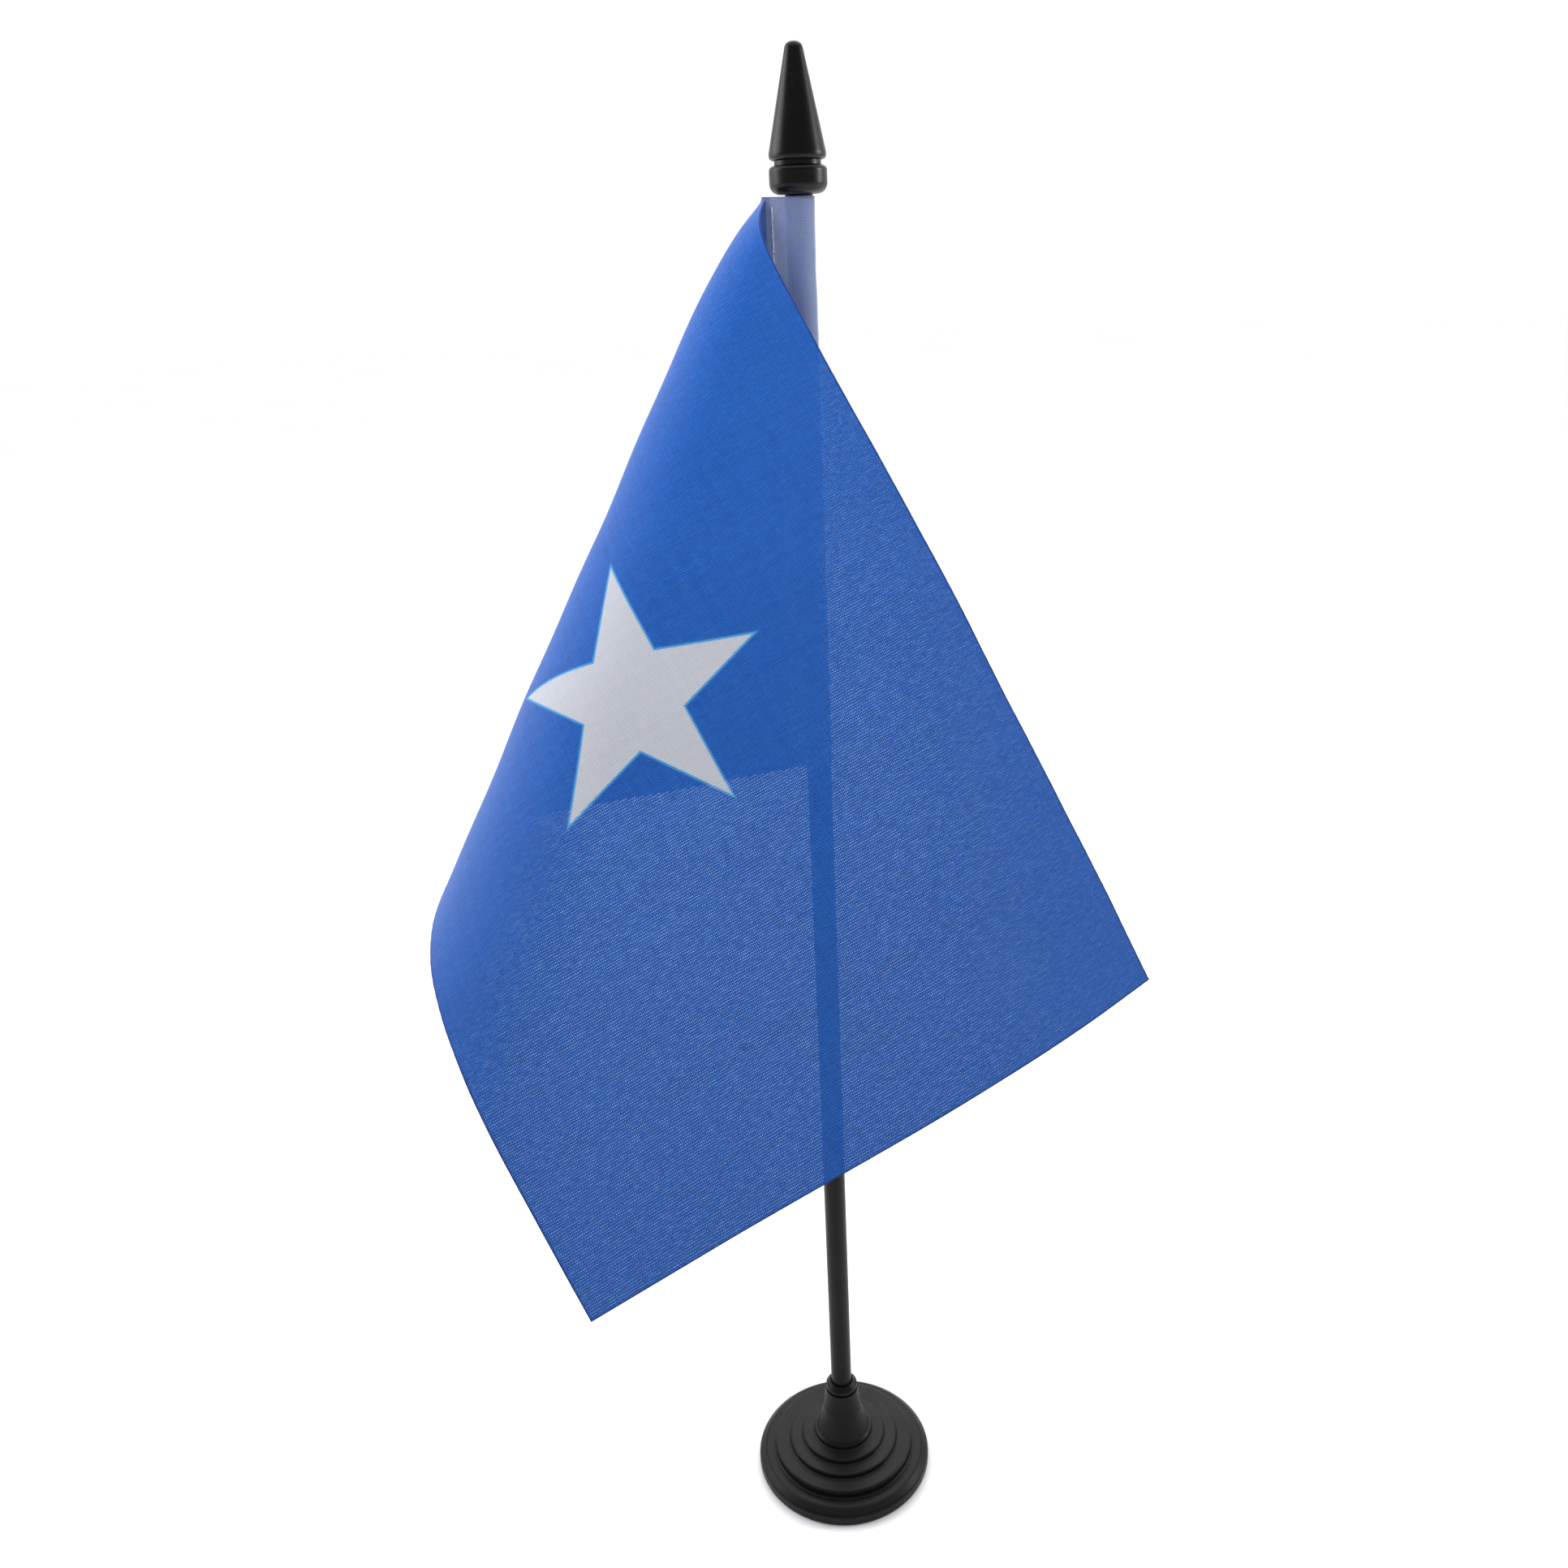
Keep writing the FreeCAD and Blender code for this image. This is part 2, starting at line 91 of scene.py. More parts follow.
RIPPLE_START = 20 * MM          # how far from the seam it takes to reach that height
RIPPLE_WAVES = (                # each wave's share, its turn per metre along and down, its phase
    (1.0, 95, 31, 0.7),
    (0.7, 43, -88, 2.1),
    (0.5, 171, 122, 4.0),
)
FRAY = 0.05 * MM                # height of the fused edge's unevenness
FRAY_ALONG, FRAY_DOWN = 9100, 8300      # its turns per metre
FRAY_BEND, FRAY_SLANT = 4300, 900       # what keeps those two waves from repeating together
FRAY_SWAY = 2
GRID_START = (0, 1 / 3, 7 / 9)  # the grid's lines in the narrow edge at its start, as shares of it
GRID_END = (1 / 2, 0)           # and at its end, from the far side

# ---- the print ----
STAR_ACROSS = 99.7 * MM
STAR_DOWN = 72.2 * MM
STAR_RADIUS = 29.2 * MM
STAR_INNER = 0.382              # the notches' radius as a share of the tips'
STAR_POINTS = 5
STAR_SOFT = 0.15 * MM           # half the width over which blue turns to white
HALO_OUT, HALO_IN = 0.75 * MM, 0.1 * MM     # the paler rim of the print, from the star's edge
PRINT_STRAY = 0.12 * MM         # how far the threads carry the print's edge

# ---- the weave ----
WARP_PITCH = 0.57 * MM          # from thread to thread along the flag's length
WEFT_PITCH = 0.41 * MM          # from thread to thread down the flag
SLEEVE_WARP = WARP_PITCH * 0.7
SLEEVE_WEFT = WEFT_PITCH * 0.8
WANDER = 0.5                    # how far a thread strays, as a share of its pitch
WANDER_QUICK, WANDER_SLOW = 260, 60     # how fast that changes across and along the thread
STREAK_ACROSS, STREAK_UP = 2400, 420    # scale of the short thick places in the ribs
CUT_INNER, CUT_OUTER = 0.5 * MM, 0.12 * MM      # where the hot-cut edge ends and is full
PORE = 0.70                     # how open the gaps between the threads are

# ---- the cloth's colours, linear ----
BLUE_SHADED_HOLLOW = (0.001, 0.021, 0.16, 1)   # between the threads: painted shade
BLUE_CROWN = (0.007, 0.132, 0.60, 1)    # on top of them
BLUE_YARN = (0.002, 0.043, 0.25, 1)     # a darker dyed thread
BLUE_PATCH = (0.03, 0.17, 0.50, 1)      # a wide paler patch
BLUE_SLUB = (0.03, 0.19, 0.62, 1)       # a thick place in a rib
BLUE_HALO = (0.10, 0.42, 0.74, 1)       # the print's rim round the star
BLUE_CUT = (0.006, 0.02, 0.16, 1)       # the hot-cut edge
# the white print, darker between its threads as painted shade
WHITE_SHADED_HOLLOW = (0.38, 0.395, 0.45, 1)
WHITE_CROWN = (0.59, 0.605, 0.67, 1)
WHITE_YARN = (0.43, 0.445, 0.50, 1)
# the white sleeve's colours, painted dark blue-grey: painted shade with painted blue light from the
# flag, and painted shade between the threads
SLEEVE_SHADED_HOLLOW = (0.18, 0.25, 0.47, 1)
SLEEVE_SHADED_CROWN = (0.30, 0.37, 0.60, 1)
SLEEVE_SHADED_YARN = (0.22, 0.29, 0.52, 1)
# the thread's white, darker in the grooves between its plies as painted shade
THREAD_SHADED_HOLLOW = (0.55, 0.56, 0.62, 1)
THREAD_CROWN = (0.86, 0.87, 0.90, 1)
SHEEN_BLUE = (0.55, 0.68, 1.0, 1)
YARN_SHARE = 0.45               # how much of each of these shows at most
PATCH_SHARE = 0.14
SLUB_SHARE = 0.22
HALO_SHARE = 0.75
CUT_SHARE = 0.8
WHITE_YARN_SHARE = 0.35
SLEEVE_YARN_SHARE = 0.3
STAR_CLOSED = 0.85              # how much of its pores the white print closes

# ---- the plastics' grain, as scales of noise ----
GRAIN_SCALE, CLOUD_SCALE, RUB_SCALE = 5200, 95, 420
DRAWN_SCALE, DRAWN_STRETCH, ROD_CLOUD_SCALE = 2600, 0.012, 70

# ---- the sleeve and its seam ----
SLEEVE_CLOTH = 0.16 * MM
SLEEVE_LOOSE = 0.07 * MM        # gap between the rod and the sleeve
SLEEVE_ROWS, SLEEVE_ROUND, SLEEVE_BAND = 150, 72, 9     # the grid's steps up, round and on the seam
SLEEVE_SMOOTHINGS = 3
SLEEVE_LIFT = 0.05 * MM         # height of the sleeve's waves
SLEEVE_LIFT_LEVEL = 1.6         # what keeps them outside the rod
SLEEVE_LIFT_START = 1.5 * MM    # how fast they grow away from the seam
SLEEVE_SLOW, SLEEVE_QUICK = 260, 611    # the two waves' turns per metre
SLEEVE_SWAY, SLEEVE_TWIST = 3, 2        # how they change round the rod
SLEEVE_QUICK_SHARE = 0.6
SLEEVE_FLARE = 0.10 * MM        # how much wider the sleeve is at its top
SLEEVE_FLARE_DEPTH = 7 * MM
PLY_GAP = 0.02 * MM             # between the cloths that lie on each other in the seam
STITCH_PITCH = 3.4 * MM
STITCH_INSET = 1.6 * MM
STITCH_STEPS = 16
STITCH_HOLE = 0.085             # width of the thread's dip in a needle hole, as a share of a stitch
THREAD_RADIUS = 0.15 * MM
THREAD_SIDES = 10
THREAD_PROUD = 0.8              # how far its axis lies over the cloth, in its radii
THREAD_SUNK = 0.5               # and over the seam's middle at the bottom of a dip
THREAD_STRAY, THREAD_STRAY_TURN = 0.05 * MM, 930
THREAD_LUMP, THREAD_LUMP_PITCH = 0.12, 0.9 * MM
THREAD_LAY = (3800, 2100)       # the plies' turns per metre along X and along Z

# ---- the studio's light ----
ROOM_FRONT = 0.10               # strength of the room's light from the camera's side
ROOM_BACK = 1.0                 # and from behind the flag
ROOM_TURN = (-0.4, 0.5)         # where one turns into the other, as the direction's share of +Y
ROOM_SEEN = 1.05                # strength of the room that the camera sees
SUN_POWER = 1.7
SUN_ANGLE = math.radians(100)
LAMPS = (                       # aimed at the object's middle: name, place, size and power
    ("key_left", (-1.3, 0.22, 0.75), 1.0, 8.0),
    ("fill_right", (1.3, 0.12, 0.6), 0.36, 6.0),
    ("back_top", (0.1, 1.0, 1.1), 1.2, 6.0),
)
NEAR_LAMP = (-0.07, -0.17, 0.47)
NEAR_TARGET = (-0.02, -0.02, 0.37)      # the fold's top
NEAR_SIZE, NEAR_POWER = 0.08, 0.22
FLOOR_RADIUS, FLOOR_SIDES = 6.0, 96

# ---- the camera ----
CAMERA_PLACE = (0.0, -0.34195, 0.37301)
CAMERA_HEADING = math.radians(0.626)
CAMERA_DOWN = math.radians(20.58)
CAMERA_ROLL = math.radians(-2.285)
CAMERA_LENS, CAMERA_SENSOR = 31.50, 36.0        # in mm
CAMERA_SHIFT = (-0.0134, -0.0167)

SEAM_DIRECTION = np.array([-math.cos(LEAVE_ANGLE), -math.sin(LEAVE_ANGLE), 0.0])
SEAM_SIDE = np.array([SEAM_DIRECTION[1], -SEAM_DIRECTION[0], 0.0])


# ---------------------------------------------------------------- shapes

def turned(vectors, pivot, angles):
    """Vectors turned about a unit pivot by angles in radians."""
    cosine = np.cos(angles)[..., None]
    sine = np.sin(angles)[..., None]
    along = (vectors @ pivot)[..., None] * pivot
    return vectors * cosine + np.cross(pivot, vectors) * sine + along * (1 - cosine)


def sector_frames():
    """Each sector's start, first ruling, pivot and turning rate, from the rod outwards."""
    ruling = np.array([0.0, 0.0, -1.0])
    heading = SEAM_DIRECTION
    frames, start = [], 0.0
    for degrees, curve in SECTORS:
        span = math.radians(degrees)
        speed = math.sqrt(1 + curve ** 2)
        pivot = (np.cross(ruling, heading) + ruling * curve) / speed
        frames.append((start, ruling, pivot, speed))
        angle = np.array(speed * span)
        ruling, heading = turned(ruling, pivot, angle), turned(heading, pivot, angle)
        start += span
    return frames


SECTOR_FRAMES = sector_frames()


def cloth_points(across, down):
    """Where points of the flat cloth lie in space, from the seam and from the top edge."""
    fan_across = across - APEX_ACROSS
    fan_down = down + APEX_ABOVE
    angle = np.arctan2(fan_across, fan_down)
    rulings = np.zeros(angle.shape + (3,))
    for start, ruling, pivot, speed in SECTOR_FRAMES:
        inside = angle >= start
        turns = speed * (angle[inside] - start)
        rulings[inside] = turned(np.broadcast_to(ruling, turns.shape + (3,)), pivot, turns)
    apex = SEAM_DIRECTION * (CLOTH_START + APEX_ACROSS)
    apex[2] = SLEEVE_TOP + APEX_ABOVE
    return drawn_in(apex + rulings * np.hypot(fan_across, fan_down)[..., None], across)


def drawn_in(points, across):
    """The fold's place near the top, where the cloth is creased at the seam's edge."""
    beyond = points @ SEAM_DIRECTION - CLOTH_START
    beyond = (beyond + np.hypot(beyond, CREASE_ROUND)) / 2
    share = CREASE * np.exp(-np.maximum(SLEEVE_TOP - points[..., 2], 0) / CREASE_DEPTH)
    share = share * (1 - np.exp(-np.maximum(across, 0) / CREASE_START))
    return points - (beyond * share)[..., None] * SEAM_DIRECTION


def unit(vectors):
    return vectors / np.linalg.norm(vectors, axis=-1, keepdims=True)


def cloth_normals(across, down):
    step = 0.05 * MM
    along = cloth_points(across + step, down) - cloth_points(across - step, down)
    below = cloth_points(across, down + step) - cloth_points(across, down - step)
    return unit(np.cross(along, below))


def ripple(across, down):
    """Slight waves of the cloth, none at the seam, from a few fixed sines."""
    rise = np.clip(across / RIPPLE_START, 0, 1)
    waves = sum(
        share * np.sin(across * along + down * below + phase)
        for share, along, below, phase in RIPPLE_WAVES
    )
    return RIPPLE * rise * waves


def fray(across, down):
    """Small unevenness of the fused edge, from fixed sines."""
    along = np.sin(across * FRAY_ALONG + np.sin(down * FRAY_BEND) * FRAY_SWAY)
    below = np.sin(down * FRAY_DOWN + across * FRAY_SLANT)
    return FRAY * along * below


def grid_faces(columns, rows, first, flipped):
    """Quads of a grid whose vertices are numbered row by row within each column."""
    index = first + np.arange((columns + 1) * (rows + 1)).reshape(columns + 1, rows + 1)
    corners = [index[:-1, :-1], index[1:, :-1], index[1:, 1:], index[:-1, 1:]]
    if flipped:
        corners.reverse()
    return np.stack(corners, axis=-1).reshape(-1, 4)


def border(columns, rows):
    """The vertices round the edge of such a grid, in order."""
    index = np.arange((columns + 1) * (rows + 1)).reshape(columns + 1, rows + 1)
    return np.concatenate([index[:-1, 0], index[-1, :-1], index[:0:-1, -1], index[0, :0:-1]])


def mesh_object(name, points, faces, flat=None):
    """A smooth mesh, with the flat cloth's coordinates as its UV map where they are given."""
    mesh = bpy.data.meshes.new(name)
    mesh.from_pydata(points.tolist(), [], faces.tolist())
    mesh.validate()
    mesh.shade_smooth()
    if flat is not None:
        layer = mesh.uv_layers.new(name="flat")
        corners = np.zeros(len(mesh.loops), np.int32)
        mesh.loops.foreach_get("vertex_index", corners)
        layer.data.foreach_set("uv", flat[corners].astype(np.float32).ravel())
    piece = bpy.data.objects.new(name, mesh)
    bpy.context.scene.collection.objects.link(piece)
    return piece


def thin_solid(name, middle, normals, half, flat, columns, rows):
    """A closed sheet: a grid of points, moved half the thickness each way, and a rim."""
    count = (columns + 1) * (rows + 1)
    offset = (normals * half[..., None]).reshape(-1, 3)
    centre = middle.reshape(-1, 3)
    rim = border(columns, rows)
    following = np.roll(rim, -1)
    faces = np.concatenate([
        grid_faces(columns, rows, 0, True),
        grid_faces(columns, rows, count, False),
        np.stack([rim, following, following + count, rim + count], axis=-1),
    ])
    points = np.concatenate([centre + offset, centre - offset])
    return mesh_object(name, points, faces, np.tile(flat.reshape(-1, 2), (2, 1)))


def spaced(length, steps, edge):
    """Positions from 0 to length, closer together within a narrow edge at both ends."""
    start = np.array(GRID_START) * edge
    end = length - np.array(GRID_END) * edge
    inner = np.linspace(edge, length - edge, steps + 1 - len(start) - len(end))
    return np.concatenate([start, inner, end])


def make_flag():
    """The flag's cloth, with its fused edges, from the ply of the seam to the free edge."""
    across = spaced(FLY + TUCK, COLUMNS, 2 * BEAD_WIDTH) - TUCK
    between = (across[:NEAR_SEAM] + across[1:NEAR_SEAM + 1]) / 2
    across = np.sort(np.concatenate([across, between]))
    down = spaced(HOIST, ROWS, 2 * BEAD_WIDTH)
    columns, rows = len(across) - 1, len(down) - 1
    across, down = np.meshgrid(across, down, indexing="ij")
    edge = np.minimum.reduce([FLY - across, down, HOIST - down])
    normals = cloth_normals(across, down)
    middle = cloth_points(across, down) + normals * ripple(across, down)[..., None]
    middle += normals * (fray(across, down) * np.exp(-edge / BEAD_WIDTH))[..., None]
    half = CLOTH / 2 * (1 + BEAD * np.exp(-(edge / BEAD_WIDTH) ** 2))
    flat = np.stack([(across + TUCK) / (FLY + TUCK), 1 - down / HOIST], axis=-1)
    flag = thin_solid("flag_printed_cloth", middle, normals, half, flat, columns, rows)
    flag.data.materials.append(flag_material())
    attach(flag, "flag")
    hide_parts("flag")
    return flag


def sleeve_route():
    """The sleeve's section: from the seam's edge round the rod and back, as distances along
    the seam's direction and to its side, with each point's normal."""
    radius = ROD_RADIUS + SLEEVE_LOOSE + SLEEVE_CLOTH / 2
    ply = CLOTH / 2 + SLEEVE_CLOTH / 2 + PLY_GAP
    start = SEAM_EDGE - SEAM_WIDTH
    middle = math.hypot(start, ply)
    lean = math.atan2(ply, start) + math.acos(radius / middle)
    band = np.linspace(SEAM_EDGE, start, SLEEVE_BAND, endpoint=False)
    upper = [(along, ply) for along in band]
    contact = Vector((radius * math.cos(lean), radius * math.sin(lean)))
    for share in np.linspace(0, 1, SLEEVE_BAND, endpoint=False):
        upper.append(tuple(Vector((start, ply)).lerp(contact, share)))
    round_part = [
        (radius * math.cos(angle), radius * math.sin(angle))
        for angle in np.linspace(lean, 2 * math.pi - lean, SLEEVE_ROUND)
    ]
    lower = [(along, -side) for along, side in reversed(upper)]
    route = np.array(upper + round_part + lower)
    smoothing = np.array([0.25, 0.5, 0.25])
    for repeat in range(SLEEVE_SMOOTHINGS):
        inner = [np.convolve(route[:, axis], smoothing, mode="valid") for axis in (0, 1)]
        route[1:-1] = np.stack(inner, axis=-1)
    ahead = np.gradient(route, axis=0)
    normals = unit(np.stack([-ahead[:, 1], ahead[:, 0]], axis=-1))
    return route, -normals


def sleeve_lift(route, height):
    """How far the sleeve stands off its section: slight waves, and a wider top."""
    away = np.hypot(route[:, 0], route[:, 1])[:, None]
    angle = np.arctan2(route[:, 1], route[:, 0])[:, None]
    loose = np.clip((SEAM_EDGE - SEAM_WIDTH - away) / SLEEVE_LIFT_START, 0, 1)
    slow = np.sin(height * SLEEVE_SLOW + SLEEVE_SWAY * np.cos(angle))
    quick = np.sin(height * SLEEVE_QUICK + angle * SLEEVE_TWIST)
    wave = slow + SLEEVE_QUICK_SHARE * quick
    flare = np.exp(-(SLEEVE_TOP - height) / SLEEVE_FLARE_DEPTH)
    return loose * (SLEEVE_LIFT * (SLEEVE_LIFT_LEVEL + wave) + SLEEVE_FLARE * flare)


def make_sleeve():
    """The white strip sewn into a tube round the rod, its plies closed on the flag's edge."""
    route, normals = sleeve_route()
    columns = len(route) - 1
    height = np.linspace(SLEEVE_TOP - HOIST, SLEEVE_TOP, SLEEVE_ROWS + 1)[None, :]
    lift = sleeve_lift(route, height)
    section = route[:, None, :] + normals[:, None, :] * lift[..., None]
    middle = section[..., :1] * SEAM_DIRECTION + section[..., 1:] * SEAM_SIDE
    middle[..., 2] += height
    outward = normals[:, None, :1] * SEAM_DIRECTION + normals[:, None, 1:] * SEAM_SIDE
    outward = np.broadcast_to(outward, middle.shape)
    half = np.full(middle.shape[:2], SLEEVE_CLOTH / 2)
    steps = np.linalg.norm(np.diff(route, axis=0), axis=1)
    travel = np.concatenate([[0], np.cumsum(steps)])
    girth = travel[-1]
    share_round, share_up = travel[:, None] / girth, (height - height[0, 0]) / HOIST
    flat = np.stack(np.broadcast_arrays(share_round, share_up), axis=-1)
    sleeve = thin_solid("pole_sleeve_cloth", middle, outward, half, flat, columns, SLEEVE_ROWS)
    sleeve.data.materials.append(sleeve_material(girth))
    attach(sleeve, "flag")
    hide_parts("sleeve")
    return sleeve


def make_stitching():
    """The seam's thread: on each face it lies along the cloth and dips into each needle hole."""
    count = int(HOIST // STITCH_PITCH) - 1
    steps = count * STITCH_STEPS
    spare = (HOIST - count * STITCH_PITCH) / 2
    travel = np.linspace(0, count * STITCH_PITCH, steps + 1)
    phase = (travel / STITCH_PITCH) % 1
    nearest = np.minimum(phase, 1 - phase)
    dip = np.exp(-(nearest / STITCH_HOLE) ** 2)
    skin = CLOTH / 2 + SLEEVE_CLOTH + PLY_GAP + THREAD_RADIUS * THREAD_PROUD
    spin = np.arange(THREAD_SIDES) * 2 * math.pi / THREAD_SIDES
    points, faces = [], []
    for face in (-1, 1):
        side = face * (skin - dip * (skin - THREAD_SUNK * THREAD_RADIUS))
        stray = THREAD_STRAY * np.sin(travel * THREAD_STRAY_TURN + face)
        centre = (SEAM_EDGE - STITCH_INSET + stray)[:, None] * SEAM_DIRECTION
        centre = centre + side[:, None] * SEAM_SIDE
        centre[:, 2] += SLEEVE_TOP - HOIST + spare + travel
        ahead = unit(np.gradient(centre, axis=0))
        across = unit(np.cross(ahead, SEAM_SIDE))
        raised = np.cross(across, ahead)
        radius = THREAD_RADIUS * (1 + THREAD_LUMP * np.sin(travel * 2 * math.pi / THREAD_LUMP_PITCH))
        ring = (
            across[:, None, :] * np.cos(spin)[None, :, None]
            + raised[:, None, :] * np.sin(spin)[None, :, None]
        )
        first = len(points) * (steps + 1) * THREAD_SIDES
        points.append((centre[:, None, :] + ring * radius[:, None, None]).reshape(-1, 3))
        index = first + np.arange((steps + 1) * THREAD_SIDES).reshape(steps + 1, THREAD_SIDES)
        turned_index = np.roll(index, -1, axis=1)
        quads = [index[:-1], turned_index[:-1], turned_index[1:], index[1:]]
        faces += np.stack(quads, axis=-1).reshape(-1, 4).tolist()
        faces.append(index[0, ::-1].tolist())
        faces.append(index[-1].tolist())
    mesh = bpy.data.meshes.new("seam_stitching")
    mesh.from_pydata(np.concatenate(points).tolist(), [], faces)
    mesh.shade_smooth()
    thread = bpy.data.objects.new("seam_stitching", mesh)
    bpy.context.scene.collection.objects.link(thread)
    thread.data.materials.append(thread_material())
    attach(thread, "flag")
    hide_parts("seam_thread")
    return thread


# ---------------------------------------------------------------- materials

class Nodes:
    """A material's node tree, with short calls that make a node and link its inputs."""

    def __init__(self, name):
        self.material = bpy.data.materials.new(name)
        self.material.use_nodes = True
        self.tree = self.material.node_tree
        self.shader = self.tree.nodes["Principled BSDF"]

    def set(self, socket, value):
        if isinstance(value, bpy.types.NodeSocket):
            self.tree.links.new(value, socket)
        elif value is not None:
            socket.default_value = value

    def constants(self, values):
        """Values that are the same all over, set on the shader's own sockets."""
        for name, value in values.items():
            self.shader.inputs[name].default_value = value

    def node(self, kind, **properties):
        made = self.tree.nodes.new(kind)
        for name, value in properties.items():
            setattr(made, name, value)
        return made

    def math(self, operation, first, second=None, third=None):
        made = self.node("ShaderNodeMath", operation=operation)
        for socket, value in zip(made.inputs, (first, second, third)):
            self.set(socket, value)
        return made.outputs[0]

    def ramp(self, value, low, high, low_out=0.0, high_out=1.0):
        """Value taken smoothly from one range to another, and held at the ends."""
        made = self.node("ShaderNodeMapRange", interpolation_type="SMOOTHSTEP")
        for socket, given in zip(made.inputs, (value, low, high, low_out, high_out)):
            self.set(socket, given)
        return made.outputs[0]

    def colour(self, factor, first, second):
        made = self.node("ShaderNodeMix", data_type="RGBA")
        self.set(made.inputs[0], factor)
        self.set(made.inputs[6], first)
        self.set(made.inputs[7], second)
        return made.outputs[2]

    def vector(self, x, y, z=0.0):
        made = self.node("ShaderNodeCombineXYZ")
        for socket, value in zip(made.inputs, (x, y, z)):
            self.set(socket, value)
        return made.outputs[0]

    def noise(self, place, scale, detail=2.0, roughness=0.5):
        made = self.node("ShaderNodeTexNoise")
        self.set(made.inputs["Vector"], place)
        self.set(made.inputs["Scale"], scale)
        self.set(made.inputs["Detail"], detail)
        self.set(made.inputs["Roughness"], roughness)
        return made.outputs[0]

    def random(self, value):
        """A fixed random number for each whole number."""
        made = self.node("ShaderNodeTexWhiteNoise", noise_dimensions="1D")
        self.set(made.inputs["W"], value)
        return made.outputs[0]

    def between(self, factor, first, second):
        """A number that goes from first to second with the factor."""
        made = self.node("ShaderNodeMix", data_type="FLOAT")
        for socket, value in ((0, factor), (2, first), (3, second)):
            self.set(made.inputs[socket], value)
        return made.outputs[0]

    def scaled(self, x, y, x_scale, y_scale):
        """A flat place with its own scale each way."""
        return self.vector(self.math("MULTIPLY", x, x_scale), self.math("MULTIPLY", y, y_scale))

    def bump(self, height, distance, strength):
        made = self.node("ShaderNodeBump")
        self.set(made.inputs["Height"], height)
        self.set(made.inputs["Distance"], distance)
        self.set(made.inputs["Strength"], strength)
        self.set(self.shader.inputs["Normal"], made.outputs[0])

    def flat_place(self, width, height):
        """The flat cloth's own coordinates, in metres."""
        split = self.node("ShaderNodeSeparateXYZ")
        self.set(split.inputs[0], self.node("ShaderNodeUVMap", uv_map="flat").outputs[0])
        across = self.math("MULTIPLY", split.outputs[0], width)
        up = self.math("MULTIPLY", split.outputs[1], height)
        return across, up

    def body_place(self):
        return self.node("ShaderNodeTexCoord").outputs["Object"]


def plain_weave(nodes, across, up, warp_pitch, weft_pitch):
    """Thread heights of a plain weave, how near a place is to a thread's middle rather than to
    a pore, and each thread's own shade, from flat places."""
    stray_a = nodes.noise(nodes.scaled(across, up, WANDER_QUICK, WANDER_SLOW), 1.0)
    stray_b = nodes.noise(nodes.scaled(across, up, WANDER_SLOW, WANDER_QUICK), 1.0)
    warp = nodes.math("MULTIPLY_ADD", stray_a, WANDER, nodes.math("DIVIDE", across, warp_pitch))
    weft = nodes.math("MULTIPLY_ADD", stray_b, WANDER, nodes.math("DIVIDE", up, weft_pitch))
    wave_a = nodes.math("SINE", nodes.math("MULTIPLY", warp, math.pi))
    wave_b = nodes.math("SINE", nodes.math("MULTIPLY", weft, math.pi))
    thread_a = nodes.math("ABSOLUTE", wave_a)
    thread_b = nodes.math("ABSOLUTE", wave_b)
    over = nodes.ramp(nodes.math("MULTIPLY", wave_a, wave_b), -0.12, 0.12)
    height = nodes.between(over, crown(nodes, thread_b, thread_a), crown(nodes, thread_a, thread_b))
    gap = nodes.math("MAXIMUM", thread_a, thread_b)
    shade_a = nodes.random(nodes.math("FLOOR", warp))
    shade_b = nodes.random(nodes.math("ADD", nodes.math("FLOOR", weft), 0.5))
    shade = nodes.between(0.5, shade_a, shade_b)
    return height, gap, shade


def crown(nodes, thread, crossing):
    """A thread's rounded height, highest where it passes over the middle of the other."""
    rounded = nodes.math("POWER", thread, 0.6)
    return nodes.math("MULTIPLY", rounded, nodes.math("MULTIPLY_ADD", crossing, 0.5, 0.5))


def star_distance(nodes, across, up):
    """How far inside the five-pointed star a place is, in metres; it is below zero outside."""
    x = nodes.math("SUBTRACT", across, STAR_ACROSS + TUCK)
    y = nodes.math("SUBTRACT", up, HOIST - STAR_DOWN)
    square = nodes.math("ADD", nodes.math("MULTIPLY", x, x), nodes.math("MULTIPLY", y, y))
    radius = nodes.math("SQRT", square)
    angle = nodes.math("ARCTAN2", x, y)
    sector = 2 * math.pi / STAR_POINTS
    folded = nodes.math("ABSOLUTE", nodes.math("WRAP", angle, sector / 2, -sector / 2))
    tip = Vector((STAR_RADIUS, 0.0))
    notch = Vector((math.cos(sector / 2), math.sin(sector / 2))) * STAR_RADIUS * STAR_INNER
    edge = (notch - tip).normalized()
    along = nodes.math("MULTIPLY", radius, nodes.math("COSINE", folded))
    along = nodes.math("SUBTRACT", along, tip.x)
    aside = nodes.math("MULTIPLY", radius, nodes.math("SINE", folded))
    return nodes.math("MULTIPLY_ADD", along, -edge.y, nodes.math("MULTIPLY", aside, edge.x))


